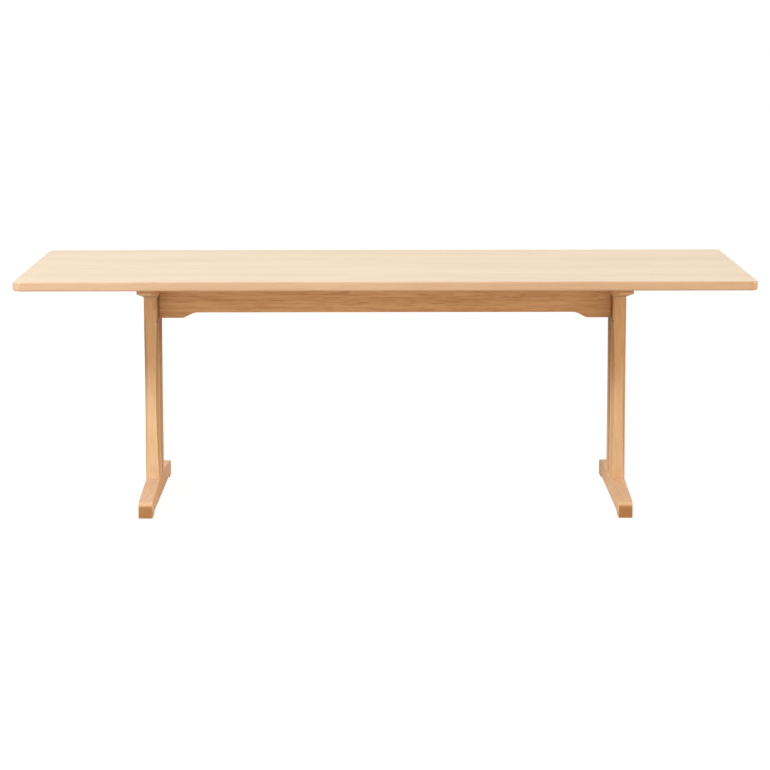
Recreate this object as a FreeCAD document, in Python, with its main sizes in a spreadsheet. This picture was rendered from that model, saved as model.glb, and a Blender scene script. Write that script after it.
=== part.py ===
import FreeCAD, Part
import math
import operator
import os
import types
import Sketcher
from FreeCAD import Placement, Rotation, Vector

# Long trestle table in solid pale hardwood, the kind used as a communion or dining table.
# Two trestles stand across the table. Each has a foot, two posts side by side, a head block
# between the posts and a bearer under the top. One shaped rail joins the trestles.
# X runs along the table, Y across it and Z up. The origin is on the floor under its centre.
# All sizes are in millimetres.

SIZES = [
    ("table_length", 2200, "top, end to end"),
    ("table_width", 980, "top, side to side"),
    ("table_height", 730, "floor to the top's upper face"),
    ("top_thick", 28, "boards of the top"),
    ("corner_round", 28, "corner of the top, seen from above"),
    ("upper_round", 5, "rounding of the top's upper edge"),
    ("lower_round", 6, "rounding of the top's lower edge"),
    ("trestle_centre", 724, "middle of the table to the middle of a trestle"),
    ("trestle_thick", 43, "foot, posts and bearer, along the table"),
    ("eased_edge", 1.5, "rounding of the long edges of the frame"),
    ("foot_length", 770, "foot, end to end"),
    ("foot_rise", 70, "floor to the foot's upper face at the posts"),
    ("foot_nose", 50, "floor to the foot's sloping face at its end"),
    ("nose_round", 22, "rounding of the foot's upper end"),
    ("foot_pad", 60, "length of the part of a foot that stands on the floor"),
    ("foot_relief", 9, "lift of the foot's underside between its pads"),
    ("relief_run", 16, "length of the curve from a pad up to the relief"),
    ("ledge", 4, "level stretch of foot and bearer outside the posts"),
    ("bearer_length", 690, "bearer, end to end"),
    ("bearer_deep", 62, "bearer's depth at the posts"),
    ("bearer_tip", 26, "bearer's depth at its ends"),
    ("tip_round", 7, "rounding of the bearer's lower ends"),
    ("post_wide", 60, "post, across the table"),
    ("post_gap", 56, "opening between the two posts of a trestle"),
    ("tenon_thick", 25, "tenons of the posts, along the table"),
    ("tenon_wide", 42, "tenons of the posts, across the table"),
    ("tenon_long", 36, "tenons of the posts, up and down"),
    ("glue_gap", 0.1, "clearance on each side of a glued tenon or dowel"),
    ("end_gap", 1, "clearance at the end of a tenon, dowel, bolt or screw"),
    ("bevel", 9, "leg of the stopped bevels of a post where they are widest"),
    ("bevel_reach", 290, "half the length over which a bevel would run out"),
    ("bevel_middle", 345, "floor to the widest place of the bevels"),
    ("rail_thick", 28, "rail, across the table"),
    ("rail_end", 136, "rail's depth at the trestles"),
    ("rail_middle", 119, "rail's depth between the trestles"),
    ("rail_flat", 75, "length of the rail's deep ends"),
    ("rail_slope", 33, "length of the slope from a deep end up to the middle"),
    ("step_corner", 6, "round where a deep end turns into the slope"),
    ("step_round", 45, "hollow where the slope runs out into the middle"),
    ("dowel_size", 10, "dowels between head block and post, diameter"),
    ("dowel_length", 36, "dowels between head block and post"),
    ("dowel_spread", 40, "between the two dowels of a joint"),
    ("bolt_size", 8, "rail bolts, diameter"),
    ("bolt_length", 98, "rail bolts, under the head"),
    ("bolt_head", 13, "head of a rail bolt, diameter"),
    ("bolt_head_tall", 8, "head of a rail bolt"),
    ("bolt_key", 6, "hexagon socket of a rail bolt, across flats"),
    ("bolt_clear", 0.5, "clearance round a bolt in its bore"),
    ("washer_size", 18, "washer of a rail bolt, diameter"),
    ("washer_thick", 1.6, "washers of bolts and screws"),
    ("sink_size", 20, "counterbore for a bolt head, diameter"),
    ("sink_deep", 11, "counterbore for a bolt head"),
    ("nut_size", 14, "barrel nuts, diameter"),
    ("nut_length", 18, "barrel nuts"),
    ("nut_setback", 60, "rail's end to a barrel nut's axis"),
    ("screw_size", 5, "screws into the top, diameter"),
    ("screw_head", 10, "screw heads, diameter"),
    ("screw_head_tall", 3.5, "screw heads"),
    ("screw_bite", 17, "length of a screw inside the top"),
    ("screw_slack", 1.5, "room round a bearer screw, so that the top can move"),
    ("screw_washer", 14, "washer of a bearer screw, diameter"),
    ("screw_well", 16, "counterbore for a bearer screw, diameter"),
    ("screw_wood", 18, "bearer left above a screw's washer"),
    ("inner_screw", 168, "middle of a trestle to its inner bearer screws"),
    ("outer_screw", 300, "middle of a trestle to its outer bearer screws"),
    ("button_place", 420, "middle of the rail to a button"),
    ("button_wide", 36, "button, along the rail"),
    ("button_long", 42, "button's block, away from the rail"),
    ("button_tall", 24, "button's block"),
    ("button_tongue", 10, "button's tongue, length and thickness"),
    ("button_lip", 12, "underside of the top to the tongue"),
    ("button_play", 1, "room between a button and the rail or its slot"),
    ("glide_size", 22, "foot glides, diameter"),
    ("glide_thick", 4, "foot glides"),
    ("glide_proud", 1.5, "part of a glide below the foot"),
]
BOARD_COUNT = 8
SIDES = {"left": -1, "right": 1}
FACES = {"front": -1, "back": 1}
SOCKET_SHARE = 0.55
TOUCH = 0.01

doc = FreeCAD.newDocument("TrestleTable")
sheet = doc.addObject("Spreadsheet::Sheet", "Sizes")
nodes = []


class Size:
    """A number together with the sheet formula that gives it."""

    def __init__(self, number, formula):
        self.number = number
        self.formula = formula

    def __add__(self, other):
        return combined(self, "+", other)

    def __radd__(self, other):
        return combined(other, "+", self)

    def __sub__(self, other):
        return combined(self, "-", other)

    def __rsub__(self, other):
        return combined(other, "-", self)

    def __mul__(self, other):
        return combined(self, "*", other)

    def __rmul__(self, other):
        return combined(other, "*", self)

    def __truediv__(self, other):
        return combined(self, "/", other)

    def __neg__(self):
        return combined(0, "-", self)


OPERATIONS = {"+": operator.add, "-": operator.sub, "*": operator.mul, "/": operator.truediv}


def as_size(value):
    if isinstance(value, Size):
        return value
    return Size(float(value), f"({float(value)})")


def combined(left, sign, right):
    left = as_size(left)
    right = as_size(right)
    number = OPERATIONS[sign](left.number, right.number)
    return Size(number, f"({left.formula} {sign} {right.formula})")


def fill_sheet():
    """Writes each size to the sheet and returns them as named sizes."""
    named = {}
    for row, (name, number, note) in enumerate(SIZES, 1):
        sheet.set(f"A{row}", note)
        sheet.set(f"B{row}", str(number))
        sheet.setAlias(f"B{row}", name)
        named[name] = Size(float(number), f"Sizes.{name}")
    doc.recompute()
    return types.SimpleNamespace(**named)


def bind(item, name, value):
    item.setExpression(name, as_size(value).formula)


def place(item, x=0, y=0, z=0, axis=Vector(0, 0, 1)):
    """Turns an item's own Z to the given axis and ties its position to the sheet."""
    item.Placement = Placement(Vector(0, 0, 0), Rotation(Vector(0, 0, 1), axis))
    for letter, value in zip("xyz", (x, y, z)):
        bind(item, f"Placement.Base.{letter}", value)


def keep(item, label):
    """Marks an item as a piece of the table, written under its label."""
    item.Label = label
    nodes.append(item)
    return item


# Sketches and PartDesign features


def new_sketch(body, plane, offset=0):
    sketch = body.newObject("Sketcher::SketchObject", body.Name + "_sketch")
    face = next(item for item in body.Origin.OriginFeatures if item.Role == plane)
    sketch.AttachmentSupport = (face, [""])
    sketch.MapMode = "FlatFace"
    bind(sketch, "AttachmentOffset.Base.z", offset)
    return sketch


def pin(sketch, item, end, u, v):
    """Ties one point of a sketch to the sheet."""
    for kind, value in (("DistanceX", u), ("DistanceY", v)):
        number = sketch.addConstraint(Sketcher.Constraint(kind, -1, 1, item, end, value.number))
        sketch.setExpression(f"Constraints[{number}]", value.formula)


def add_arc(sketch, start, stop, centre_under_start):
    """Adds an arc that is level at one end, and returns its item and its two end numbers."""
    (start_u, start_v), (stop_u, stop_v) = start, stop
    chord = (stop_u - start_u) ** 2 + (stop_v - start_v) ** 2
    if centre_under_start:
        centre = Vector(start_u, start_v + chord / (2 * (stop_v - start_v)), 0)
    else:
        centre = Vector(stop_u, stop_v - chord / (2 * (stop_v - start_v)), 0)
    first = math.atan2(start_v - centre.y, start_u - centre.x)
    last = math.atan2(stop_v - centre.y, stop_u - centre.x)
    radius = math.hypot(start_u - centre.x, start_v - centre.y)
    circle = Part.Circle(centre, Vector(0, 0, 1), radius)
    forward = (last - first) % (2 * math.pi) < math.pi
    angles = (first, last) if forward else (last, first)
    item = sketch.addGeometry(Part.ArcOfCircle(circle, *angles))
    ends = (1, 2) if forward else (2, 1)
    level_end = ends[0] if centre_under_start else ends[1]
    sketch.addConstraint(Sketcher.Constraint("Vertical", item, level_end, item, 3))
    return item, ends


def outline(sketch, points):
    """Draws a closed outline. A point is (u, v) or (u, v, bend), where bend says that an arc
    leads to the next point, level at its "start" or at its "stop"."""
    corners = [(as_size(point[0]), as_size(point[1])) for point in points]
    drawn = []
    for number, point in enumerate(points):
        u, v = corners[number]
        next_u, next_v = corners[(number + 1) % len(points)]
        start = (u.number, v.number)
        stop = (next_u.number, next_v.number)
        if len(point) == 3:
            item, ends = add_arc(sketch, start, stop, point[2] == "start")
        else:
            item = sketch.addGeometry(Part.LineSegment(Vector(*start, 0), Vector(*stop, 0)))
            ends = (1, 2)
        pin(sketch, item, ends[0], u, v)
        drawn.append((item, ends))
    for (item, ends), (after, after_ends) in zip(drawn, drawn[1:] + drawn[:1]):
        sketch.addConstraint(Sketcher.Constraint("Coincident", item, ends[1], after, after_ends[0]))


def rectangle(sketch, u, v, wide, tall):
    u, v = as_size(u), as_size(v)
    outline(sketch, [
        (u - wide / 2, v - tall / 2),
        (u + wide / 2, v - tall / 2),
        (u + wide / 2, v + tall / 2),
        (u - wide / 2, v + tall / 2),
    ])


def circle(sketch, u, v, size):
    u, v = as_size(u), as_size(v)
    centre = Vector(u.number, v.number, 0)
    item = sketch.addGeometry(Part.Circle(centre, Vector(0, 0, 1), size.number / 2))
    pin(sketch, item, 3, u, v)
    number = sketch.addConstraint(Sketcher.Constraint("Diameter", item, size.number))
    sketch.setExpression(f"Constraints[{number}]", size.formula)


def pad(body, sketch, length, symmetric=False, reverse=False):
    feature = body.newObject("PartDesign::Pad", body.Name + "_pad")
    feature.Profile = sketch
    feature.SideType = "Symmetric" if symmetric else "One side"
    feature.Reversed = reverse
    bind(feature, "Length", length)
    doc.recompute()
    return feature


def pocket(body, sketch, depth, symmetric=False, reverse=False):
    """Cuts a sketch out of a body, against the sketch's normal unless reversed."""
    before = body.Shape.Volume
    feature = body.newObject("PartDesign::Pocket", body.Name + "_pocket")
    feature.Profile = sketch
    feature.SideType = "Symmetric" if symmetric else "One side"
    feature.Reversed = reverse
    bind(feature, "Length", depth)
    doc.recompute()
    if not body.Shape.Volume < before - TOUCH:
        raise RuntimeError(f"{feature.Name} cuts nothing from {body.Label}")
    return feature


def runs_in(edge, **planes):
    """Whether an edge lies in the given planes, such as z=0."""
    box = edge.BoundBox
    for letter, value in planes.items():
        low = getattr(box, letter.upper() + "Min")
        high = getattr(box, letter.upper() + "Max")
        if abs(low - value) > TOUCH or abs(high - value) > TOUCH:
            return False
    return True


def is_along(edge, axis):
    direction = edge.tangentAt(edge.FirstParameter)
    straight = isinstance(edge.Curve, Part.Line)
    return straight and abs(abs(direction.dot(axis)) - 1) < TOUCH


def round_edges(body, radius, wanted):
    """Rounds the edges of a body's newest feature that the test picks."""
    base = body.Tip
    names = [f"Edge{number}" for number, edge in enumerate(base.Shape.Edges, 1) if wanted(edge)]
    feature = body.newObject("PartDesign::Fillet", body.Name + "_round")
    feature.Base = (base, names)
    bind(feature, "Radius", radius)
    doc.recompute()
    return feature


def new_body(label):
    return doc.addObject("PartDesign::Body", label + "_body")


# Part primitives and booleans


def rod(name, size, length, start=0):
    item = doc.addObject("Part::Cylinder", name)
    bind(item, "Radius", size / 2)
    bind(item, "Height", length)
    bind(item, "Placement.Base.z", start)
    return item


def cut(name, base, tool):
    item = doc.addObject("Part::Cut", name)
    item.Base = base
    item.Tool = tool
    return item


def fused(name, items):
    item = doc.addObject("Part::MultiFuse", name)
    item.Shapes = items
    return item


def common(name, base, tool):
    item = doc.addObject("Part::Common", name)
    item.Base = base
    item.Tool = tool
    return item


def group(label, items):
    """Makes one node of several like pieces, which stay separate solids."""
    item = doc.addObject("Part::Compound", label)
    item.Links = items
    return keep(item, label)


size = fill_sheet()
ALONG = Vector(1, 0, 0)
ACROSS = Vector(0, 1, 0)
UP = Vector(0, 0, 1)

# Heights and places that several pieces share
top_under = size.table_height - size.top_thick
bearer_under = top_under - size.bearer_deep
rail_under = top_under - size.rail_end
post_centre = (size.post_gap + size.post_wide) / 2
posts_half = size.post_gap / 2 + size.post_wide
trestle_inner = size.trestle_centre - size.trestle_thick / 2
trestle_outer = size.trestle_centre + size.trestle_thick / 2
foot_under = size.glide_proud
upper_bolt = top_under - size.bearer_deep / 2
lower_bolt = (rail_under + bearer_under) / 2
mortise_thick = size.tenon_thick + 2 * size.glue_gap
mortise_wide = size.tenon_wide + 2 * size.glue_gap
mortise_deep = size.tenon_long + size.end_gap
bolt_bore = size.bolt_size + 2 * size.bolt_clear
screw_places = [
    face * offset for face in FACES.values() for offset in (size.inner_screw, size.outer_screw)
]
button_places = [(x * size.button_place, face) for x in (-1, 1) for face in FACES.values()]
button_reach = size.rail_thick / 2 + size.button_play
button_screw = button_reach + size.button_long / 2


# Top: boards glued edge to edge, then cut to one rounded outline


def make_top():
    half_long = size.table_length / 2
    half_wide = size.table_width / 2
    turn = size.corner_round
    blank = new_body("top")
    sketch = new_sketch(blank, "XY_Plane")
    outline(sketch, [
        (turn - half_long, -half_wide),
        (half_long - turn, -half_wide, "start"),
        (half_long, turn - half_wide),
        (half_long, half_wide - turn, "stop"),
        (half_long - turn, half_wide),
        (turn - half_long, half_wide, "start"),
        (-half_long, half_wide - turn),
        (-half_long, turn - half_wide, "stop"),
    ])
    pad(blank, sketch, size.top_thick)
    upper = size.top_thick.number
    round_edges(blank, size.upper_round, lambda edge: runs_in(edge, z=upper))
    round_edges(blank, size.lower_round, lambda edge: runs_in(edge, z=0))
    bores = new_sketch(blank, "XY_Plane")
    for side in SIDES.values():
        for y in screw_places:
            circle(bores, side * size.trestle_centre, y, size.screw_size + 2 * size.glue_gap)
    for x, face in button_places:
        circle(bores, x, face * button_screw, size.screw_size + 2 * size.glue_gap)
    pocket(blank, bores, size.screw_bite + size.end_gap, reverse=True)

    board_wide = size.table_width / BOARD_COUNT
    for number in range(BOARD_COUNT):
        strip = doc.addObject("Part::Box", f"board_strip_{number + 1}")
        bind(strip, "Length", size.table_length)
        bind(strip, "Width", board_wide)
        bind(strip, "Height", size.top_thick)
        place(strip, x=-half_long, y=number * board_wide - half_wide)
        board = common(f"board_{number + 1}", blank, strip)
        place(board, z=top_under)
        keep(board, f"top_board_{number + 1}")


# Feet: a beam that slopes down to rounded noses and stands on two end pads


def make_foot(name, side):
    half = size.foot_length / 2
    shelf = posts_half + size.ledge
    pad_end = half - size.foot_pad
    lift = foot_under + size.foot_relief
    rise_end = pad_end - size.relief_run
    body = new_body(f"{name}_foot")
    profile = new_sketch(body, "YZ_Plane")
    outline(profile, [
        (-half, foot_under),
        (-pad_end, foot_under),
        (-rise_end, lift),
        (rise_end, lift),
        (pad_end, foot_under),
        (half, foot_under),
        (half, size.foot_nose),
        (shelf, size.foot_rise),
        (-shelf, size.foot_rise),
        (-half, size.foot_nose),
    ])
    pad(body, profile, size.trestle_thick, symmetric=True)
    end, nose, low = half.number, size.foot_nose.number, lift.number
    bend = rise_end.number
    round_edges(body, size.nose_round, lambda edge: (
        is_along(edge, ALONG) and (runs_in(edge, y=end, z=nose) or runs_in(edge, y=-end, z=nose))
    ))
    round_edges(body, size.relief_run, lambda edge: (
        runs_in(edge, y=bend, z=low) or runs_in(edge, y=-bend, z=low)
    ))
    ease_sides(body)
    mortises = new_sketch(body, "XY_Plane", size.foot_rise)
    for face in FACES.values():
        rectangle(mortises, 0, face * post_centre, mortise_thick, mortise_wide)
    pocket(body, mortises, mortise_deep)
    wells = new_sketch(body, "XY_Plane", foot_under)
    for face in FACES.values():
        circle(wells, 0, face * (half - size.foot_pad / 2), size.glide_size + 2 * size.glue_gap)
    pocket(body, wells, size.glide_thick - size.glide_proud, reverse=True)
    place(body, x=side * size.trestle_centre)
    keep(body, f"{name}_foot")


def ease_sides(body):
    """Rounds the outline edges of both broad sides of a piece that was padded along X."""
    side = size.trestle_thick.number / 2
    round_edges(body, size.eased_edge, lambda edge: (
        runs_in(edge, x=side) or runs_in(edge, x=-side)
    ))


# Bearers: a beam that tapers up to its ends, screwed to the top and mortised for the posts


def make_bearer(name, side):
    half = size.bearer_length / 2
    shelf = posts_half + size.ledge
    deep = size.bearer_deep
    body = new_body(f"{name}_bearer")
    profile = new_sketch(body, "YZ_Plane")
    outline(profile, [
        (-shelf, 0),
        (shelf, 0),
        (half, deep - size.bearer_tip),
        (half, deep),
        (-half, deep),
        (-half, deep - size.bearer_tip),
    ])
    pad(body, profile, size.trestle_thick, symmetric=True)
    end, tip, upper = half.number, (deep - size.bearer_tip).number, deep.number
    round_edges(body, size.tip_round, lambda edge: (
        is_along(edge, ALONG) and (runs_in(edge, y=end, z=tip) or runs_in(edge, y=-end, z=tip))
    ))
    outer = size.trestle_thick.number / 2
    round_edges(body, size.eased_edge, lambda edge: (
        (runs_in(edge, x=outer) or runs_in(edge, x=-outer)) and not runs_in(edge, z=upper)
    ))
    mortises = new_sketch(body, "XY_Plane")
    for face in FACES.values():
        rectangle(mortises, 0, face * post_centre, mortise_thick, mortise_wide)
    pocket(body, mortises, mortise_deep, reverse=True)
    bores = new_sketch(body, "XY_Plane")
    wells = new_sketch(body, "XY_Plane")
    for y in screw_places:
        circle(bores, 0, y, size.screw_size + 2 * size.screw_slack)
        circle(wells, 0, y, size.screw_well)
    pocket(body, bores, deep, reverse=True)
    pocket(body, wells, deep - size.screw_wood, reverse=True)
    bore_for_bolt(body, side, deep / 2)
    place(body, x=side * size.trestle_centre, z=bearer_under)
    keep(body, f"{name}_bearer")


def bore_for_bolt(body, side, height):
    """Bores a rail bolt's hole along X, with a counterbore in the outer face."""
    bore = new_sketch(body, "YZ_Plane")
    circle(bore, 0, height, bolt_bore)
    pocket(body, bore, size.trestle_thick, symmetric=True)
    sink = new_sketch(body, "YZ_Plane", side * size.trestle_thick / 2)
    circle(sink, 0, height, size.sink_size)
    pocket(body, sink, size.sink_deep, reverse=side < 0)


# Posts: square stock with stub tenons and four long bevels that stop under the head block


def make_post(trestle, side, face_name, face):
    label = f"{trestle}_{face_name}_post"
    body = new_body(label)
    tall = bearer_under - size.foot_rise
    section = new_sketch(body, "XY_Plane")
    rectangle(section, 0, 0, size.trestle_thick, size.post_wide)
    pad(body, section, tall)
    round_edges(body, size.eased_edge, lambda edge: is_along(edge, UP))
    for start, reverse in ((0, True), (tall, False)):
        tenon = new_sketch(body, "XY_Plane", start)
        rectangle(tenon, 0, 0, size.tenon_thick, size.tenon_wide)
        pad(body, tenon, size.tenon_long, reverse=reverse)
    inner = -face * size.post_wide / 2
    dowels = new_sketch(body, "XZ_Plane", -inner)
    for place_z in dowel_places(size.foot_rise):
        circle(dowels, 0, place_z, size.dowel_size + 2 * size.glue_gap)
    pocket(body, dowels, (size.dowel_length + size.end_gap) / 2, reverse=face < 0)
    post = cut(f"{label}_bevelled", body, make_bevels(label))
    place(post, side * size.trestle_centre, face * post_centre, size.foot_rise)
    keep(post, label)


def dowel_places(origin):
    """Heights of the two dowels of a head block's joint above the given height."""
    return [lower_bolt + end * size.dowel_spread / 2 - origin for end in (-1, 1)]


def make_bevels(label):
    """Cutter for a post's bevels: four broad cylinders that graze its corners, cut off level
    with the rail's underside."""
    depth = size.bevel * math.sqrt(0.5)
    radius = (size.bevel_reach * size.bevel_reach + depth * depth) / (2 * depth)
    length = size.post_wide * 2
    middle = size.bevel_middle - size.foot_rise
    cutters = []
    for x in (-1, 1):
        for y in (-1, 1):
            cutter = rod(f"{label}_bevel", radius * 2, length)
            away = (radius - depth) * math.sqrt(0.5)
            half = length / 2 * math.sqrt(0.5)
            place(
                cutter,
                x * (size.trestle_thick / 2 + away + half),
                y * (size.post_wide / 2 + away) - y * half,
                middle,
                axis=Vector(-x, y, 0),
            )
            cutters.append(cutter)
    room = doc.addObject("Part::Box", f"{label}_bevel_room")
    bind(room, "Length", length)
    bind(room, "Width", length)
    bind(room, "Height", rail_under - size.foot_rise)
    place(room, -length / 2, -length / 2)
    return common(f"{label}_bevel_cutter", fused(f"{label}_bevels", cutters), room)


# Head blocks: fill the opening between two posts at the rail, held by dowels


def make_head_block(name, side):
    body = new_body(f"{name}_head_block")
    tall = bearer_under - rail_under
    section = new_sketch(body, "XY_Plane")
    rectangle(section, 0, 0, size.trestle_thick, size.post_gap)
    pad(body, section, tall)
    ease_bottom(body)
    for face in FACES.values():
        dowels = new_sketch(body, "XZ_Plane", -face * size.post_gap / 2)
        for place_z in dowel_places(rail_under):
            circle(dowels, 0, place_z, size.dowel_size + 2 * size.glue_gap)
        pocket(body, dowels, (size.dowel_length + size.end_gap) / 2, reverse=face > 0)
    bore_for_bolt(body, side, tall / 2)
    place(body, x=side * size.trestle_centre, z=rail_under)
    keep(body, f"{name}_head_block")


def ease_bottom(body):
    side = size.trestle_thick.number / 2
    round_edges(body, size.eased_edge, lambda edge: (
        runs_in(edge, x=side, z=0) or runs_in(edge, x=-side, z=0)
    ))


# Rail: one board on edge, deeper at its ends, bolted between the trestles


def make_rail():
    half = trestle_inner
    deep, shallow = size.rail_end, size.rail_middle
    flat_end = half - size.rail_flat
    slope_end = flat_end - size.rail_slope
    step = deep - shallow
    body = new_body("rail")
    profile = new_sketch(body, "XZ_Plane")
    outline(profile, [
        (-half, 0),
        (-flat_end, 0),
        (-slope_end, step),
        (slope_end, step),
        (flat_end, 0),
        (half, 0),
        (half, deep),
        (-half, deep),
    ])
    pad(body, profile, size.rail_thick, symmetric=True)
    corner = flat_end.number
    hollow = slope_end.number
    round_edges(body, size.step_corner, lambda edge: (
        runs_in(edge, x=corner, z=0) or runs_in(edge, x=-corner, z=0)
    ))
    round_edges(body, size.step_round, lambda edge: (
        is_along(edge, ACROSS) and (runs_in(edge, x=hollow) or runs_in(edge, x=-hollow))
    ))
    face = size.rail_thick.number / 2
    upper = deep.number
    end = half.number
    round_edges(body, size.eased_edge, lambda edge: (
        (runs_in(edge, y=face) or runs_in(edge, y=-face))
        and not runs_in(edge, z=upper)
        and not runs_in(edge, x=end)
        and not runs_in(edge, x=-end)
    ))
    heights = (upper_bolt - rail_under, lower_bolt - rail_under)
    bore_deep = size.bolt_length - size.trestle_thick + size.sink_deep - size.washer_thick
    for side in SIDES.values():
        bores = new_sketch(body, "YZ_Plane", side * half)
        for height in heights:
            circle(bores, 0, height, bolt_bore)
        pocket(body, bores, bore_deep + size.end_gap, reverse=side < 0)
    wells = new_sketch(body, "XZ_Plane", -size.rail_thick / 2)
    for side in SIDES.values():
        for height in heights:
            well = size.nut_size + 2 * size.glue_gap
            circle(wells, side * (half - size.nut_setback), height, well)
    pocket(body, wells, (size.rail_thick + size.nut_length) / 2 + size.glue_gap, reverse=True)
    for side in FACES.values():
        slots = new_sketch(body, "XZ_Plane", -side * size.rail_thick / 2)
        for x, face_sign in button_places:
            if face_sign == side:
                slot_tall = size.button_tongue + size.button_play
                slot_centre = deep - size.button_lip - slot_tall / 2
                slot_wide = size.button_wide + 2 * size.button_play
                rectangle(slots, x, slot_centre, slot_wide, slot_tall)
        pocket(body, slots, size.button_tongue, reverse=side > 0)
    place(body, z=rail_under)
    keep(body, "centre_rail")


# Dowels, bolts, washers, barrel nuts, screws, buttons and glides


def make_dowels():
    dowels = []
    for side in SIDES.values():
        for face in FACES.values():
            for height in dowel_places(0):
                dowel = rod("dowel", size.dowel_size, size.dowel_length)
                middle = face * size.post_gap / 2
                place(dowel, side * size.trestle_centre, middle - size.dowel_length / 2, height, ACROSS)
                dowels.append(dowel)
    group("head_block_dowels", dowels)


def make_rail_bolts():
    seat = trestle_outer - size.sink_deep
    bolts, washers, nuts = [], [], []
    for side in SIDES.values():
        for height in (upper_bolt, lower_bolt):
            shank = rod("bolt_shank", size.bolt_size, size.bolt_length)
            head = rod("bolt_head", size.bolt_head, size.bolt_head_tall, -size.bolt_head_tall)
            socket = doc.addObject("Part::Prism", "bolt_socket")
            socket.Polygon = 6
            bind(socket, "Circumradius", size.bolt_key / math.sqrt(3))
            bind(socket, "Height", size.bolt_head_tall * SOCKET_SHARE)
            bind(socket, "Placement.Base.z", -size.bolt_head_tall)
            bolt = cut("bolt", fused("bolt_blank", [shank, head]), socket)
            inwards = Vector(-side, 0, 0)
            place(bolt, side * (seat + size.washer_thick), 0, height, inwards)
            bolts.append(bolt)
            ring = rod("washer_ring", size.washer_size, size.washer_thick)
            hole = rod("washer_hole", bolt_bore, size.washer_thick)
            washer = cut("washer", ring, hole)
            place(washer, side * (seat + size.washer_thick), 0, height, inwards)
            washers.append(washer)
            nuts.append(make_barrel_nut(side, height))
    group("rail_bolts", bolts)
    group("rail_bolt_washers", washers)
    group("barrel_nuts", nuts)


def make_barrel_nut(side, height):
    barrel = rod("nut_barrel", size.nut_size, size.nut_length)
    thread = rod("nut_thread", size.bolt_size + 2 * size.glue_gap, size.nut_size * 2)
    place(thread, -size.nut_size, 0, size.nut_length / 2, ALONG)
    nut = cut("barrel_nut", barrel, thread)
    place(nut, side * (trestle_inner - size.nut_setback), -size.nut_length / 2, height, ACROSS)
    return nut


def make_screw(length, x, y, z):
    """A round-headed screw that points up, with the underside of its head at the given place."""
    shank = rod("screw_shank", size.screw_size, length)
    head = rod("screw_head", size.screw_head, size.screw_head_tall, -size.screw_head_tall)
    socket = doc.addObject("Part::Prism", "screw_socket")
    socket.Polygon = 6
    bind(socket, "Circumradius", size.screw_size * SOCKET_SHARE)
    bind(socket, "Height", size.screw_head_tall * SOCKET_SHARE)
    bind(socket, "Placement.Base.z", -size.screw_head_tall)
    screw = cut("screw", fused("screw_blank", [shank, head]), socket)
    place(screw, x, y, z)
    return screw


def make_bearer_screws():
    seat = top_under - size.screw_wood
    screws, washers = [], []
    for side in SIDES.values():
        for y in screw_places:
            length = size.screw_wood + size.washer_thick + size.screw_bite
            x = side * size.trestle_centre
            screws.append(make_screw(length, x, y, seat - size.washer_thick))
            ring = rod("washer_ring", size.screw_washer, size.washer_thick)
            hole = rod("washer_hole", size.screw_size + 2 * size.glue_gap, size.washer_thick)
            washer = cut("screw_washer", ring, hole)
            place(washer, x, y, seat - size.washer_thick)
            washers.append(washer)
    group("bearer_screws", screws)
    group("bearer_screw_washers", washers)


def make_buttons():
    buttons, screws = [], []
    for x, face in button_places:
        body = new_body("button")
        reach = button_reach
        tongue_top = -size.button_lip
        tongue_under = tongue_top - size.button_tongue
        far = reach + size.button_long
        near = reach - size.button_tongue
        profile = new_sketch(body, "YZ_Plane")
        outline(profile, [
            (face * far, 0),
            (face * reach, 0),
            (face * reach, tongue_top),
            (face * near, tongue_top),
            (face * near, tongue_under),
            (face * reach, tongue_under),
            (face * reach, -size.button_tall),
            (face * far, -size.button_tall),
        ])
        pad(body, profile, size.button_wide, symmetric=True)
        bore = new_sketch(body, "XY_Plane")
        circle(bore, 0, face * button_screw, size.screw_size + 2 * size.glue_gap)
        pocket(body, bore, size.button_tall)
        place(body, x=x, z=top_under)
        buttons.append(body)
        length = size.button_tall + size.screw_bite
        screws.append(make_screw(length, x, face * button_screw, top_under - size.button_tall))
    group("top_buttons", buttons)
    group("top_button_screws", screws)


def make_glides():
    glides = []
    for side in SIDES.values():
        for face in FACES.values():
            glide = rod("glide", size.glide_size, size.glide_thick)
            middle = size.foot_length / 2 - size.foot_pad / 2
            place(glide, side * size.trestle_centre, face * middle, 0)
            glides.append(glide)
    group("foot_glides", glides)


def check_and_write():
    doc.recompute()
    for item in doc.Objects:
        if "Invalid" in item.State or "Error" in item.State:
            raise RuntimeError(f"{item.Name} failed: {item.State}")
    os.makedirs("parts", exist_ok=True)
    for node in nodes:
        shape = node.Shape
        if shape.isNull() or not shape.isValid() or not shape.Solids:
            raise RuntimeError(f"{node.Label} has no sound shape")
    for node in nodes:
        node.Shape.exportStep(os.path.join("parts", node.Label + ".step"))
        print(node.Label, len(node.Shape.Solids), round(node.Shape.Volume))


make_top()
for trestle, direction in SIDES.items():
    make_foot(trestle, direction)
    make_bearer(trestle, direction)
    make_head_block(trestle, direction)
    for face_label, facing in FACES.items():
        make_post(trestle, direction, face_label, facing)
make_rail()
make_dowels()
make_rail_bolts()
make_bearer_screws()
make_buttons()
make_glides()
check_and_write()
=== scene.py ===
import math

import bmesh
import bpy
from mathutils import Euler, Matrix, Vector


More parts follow.
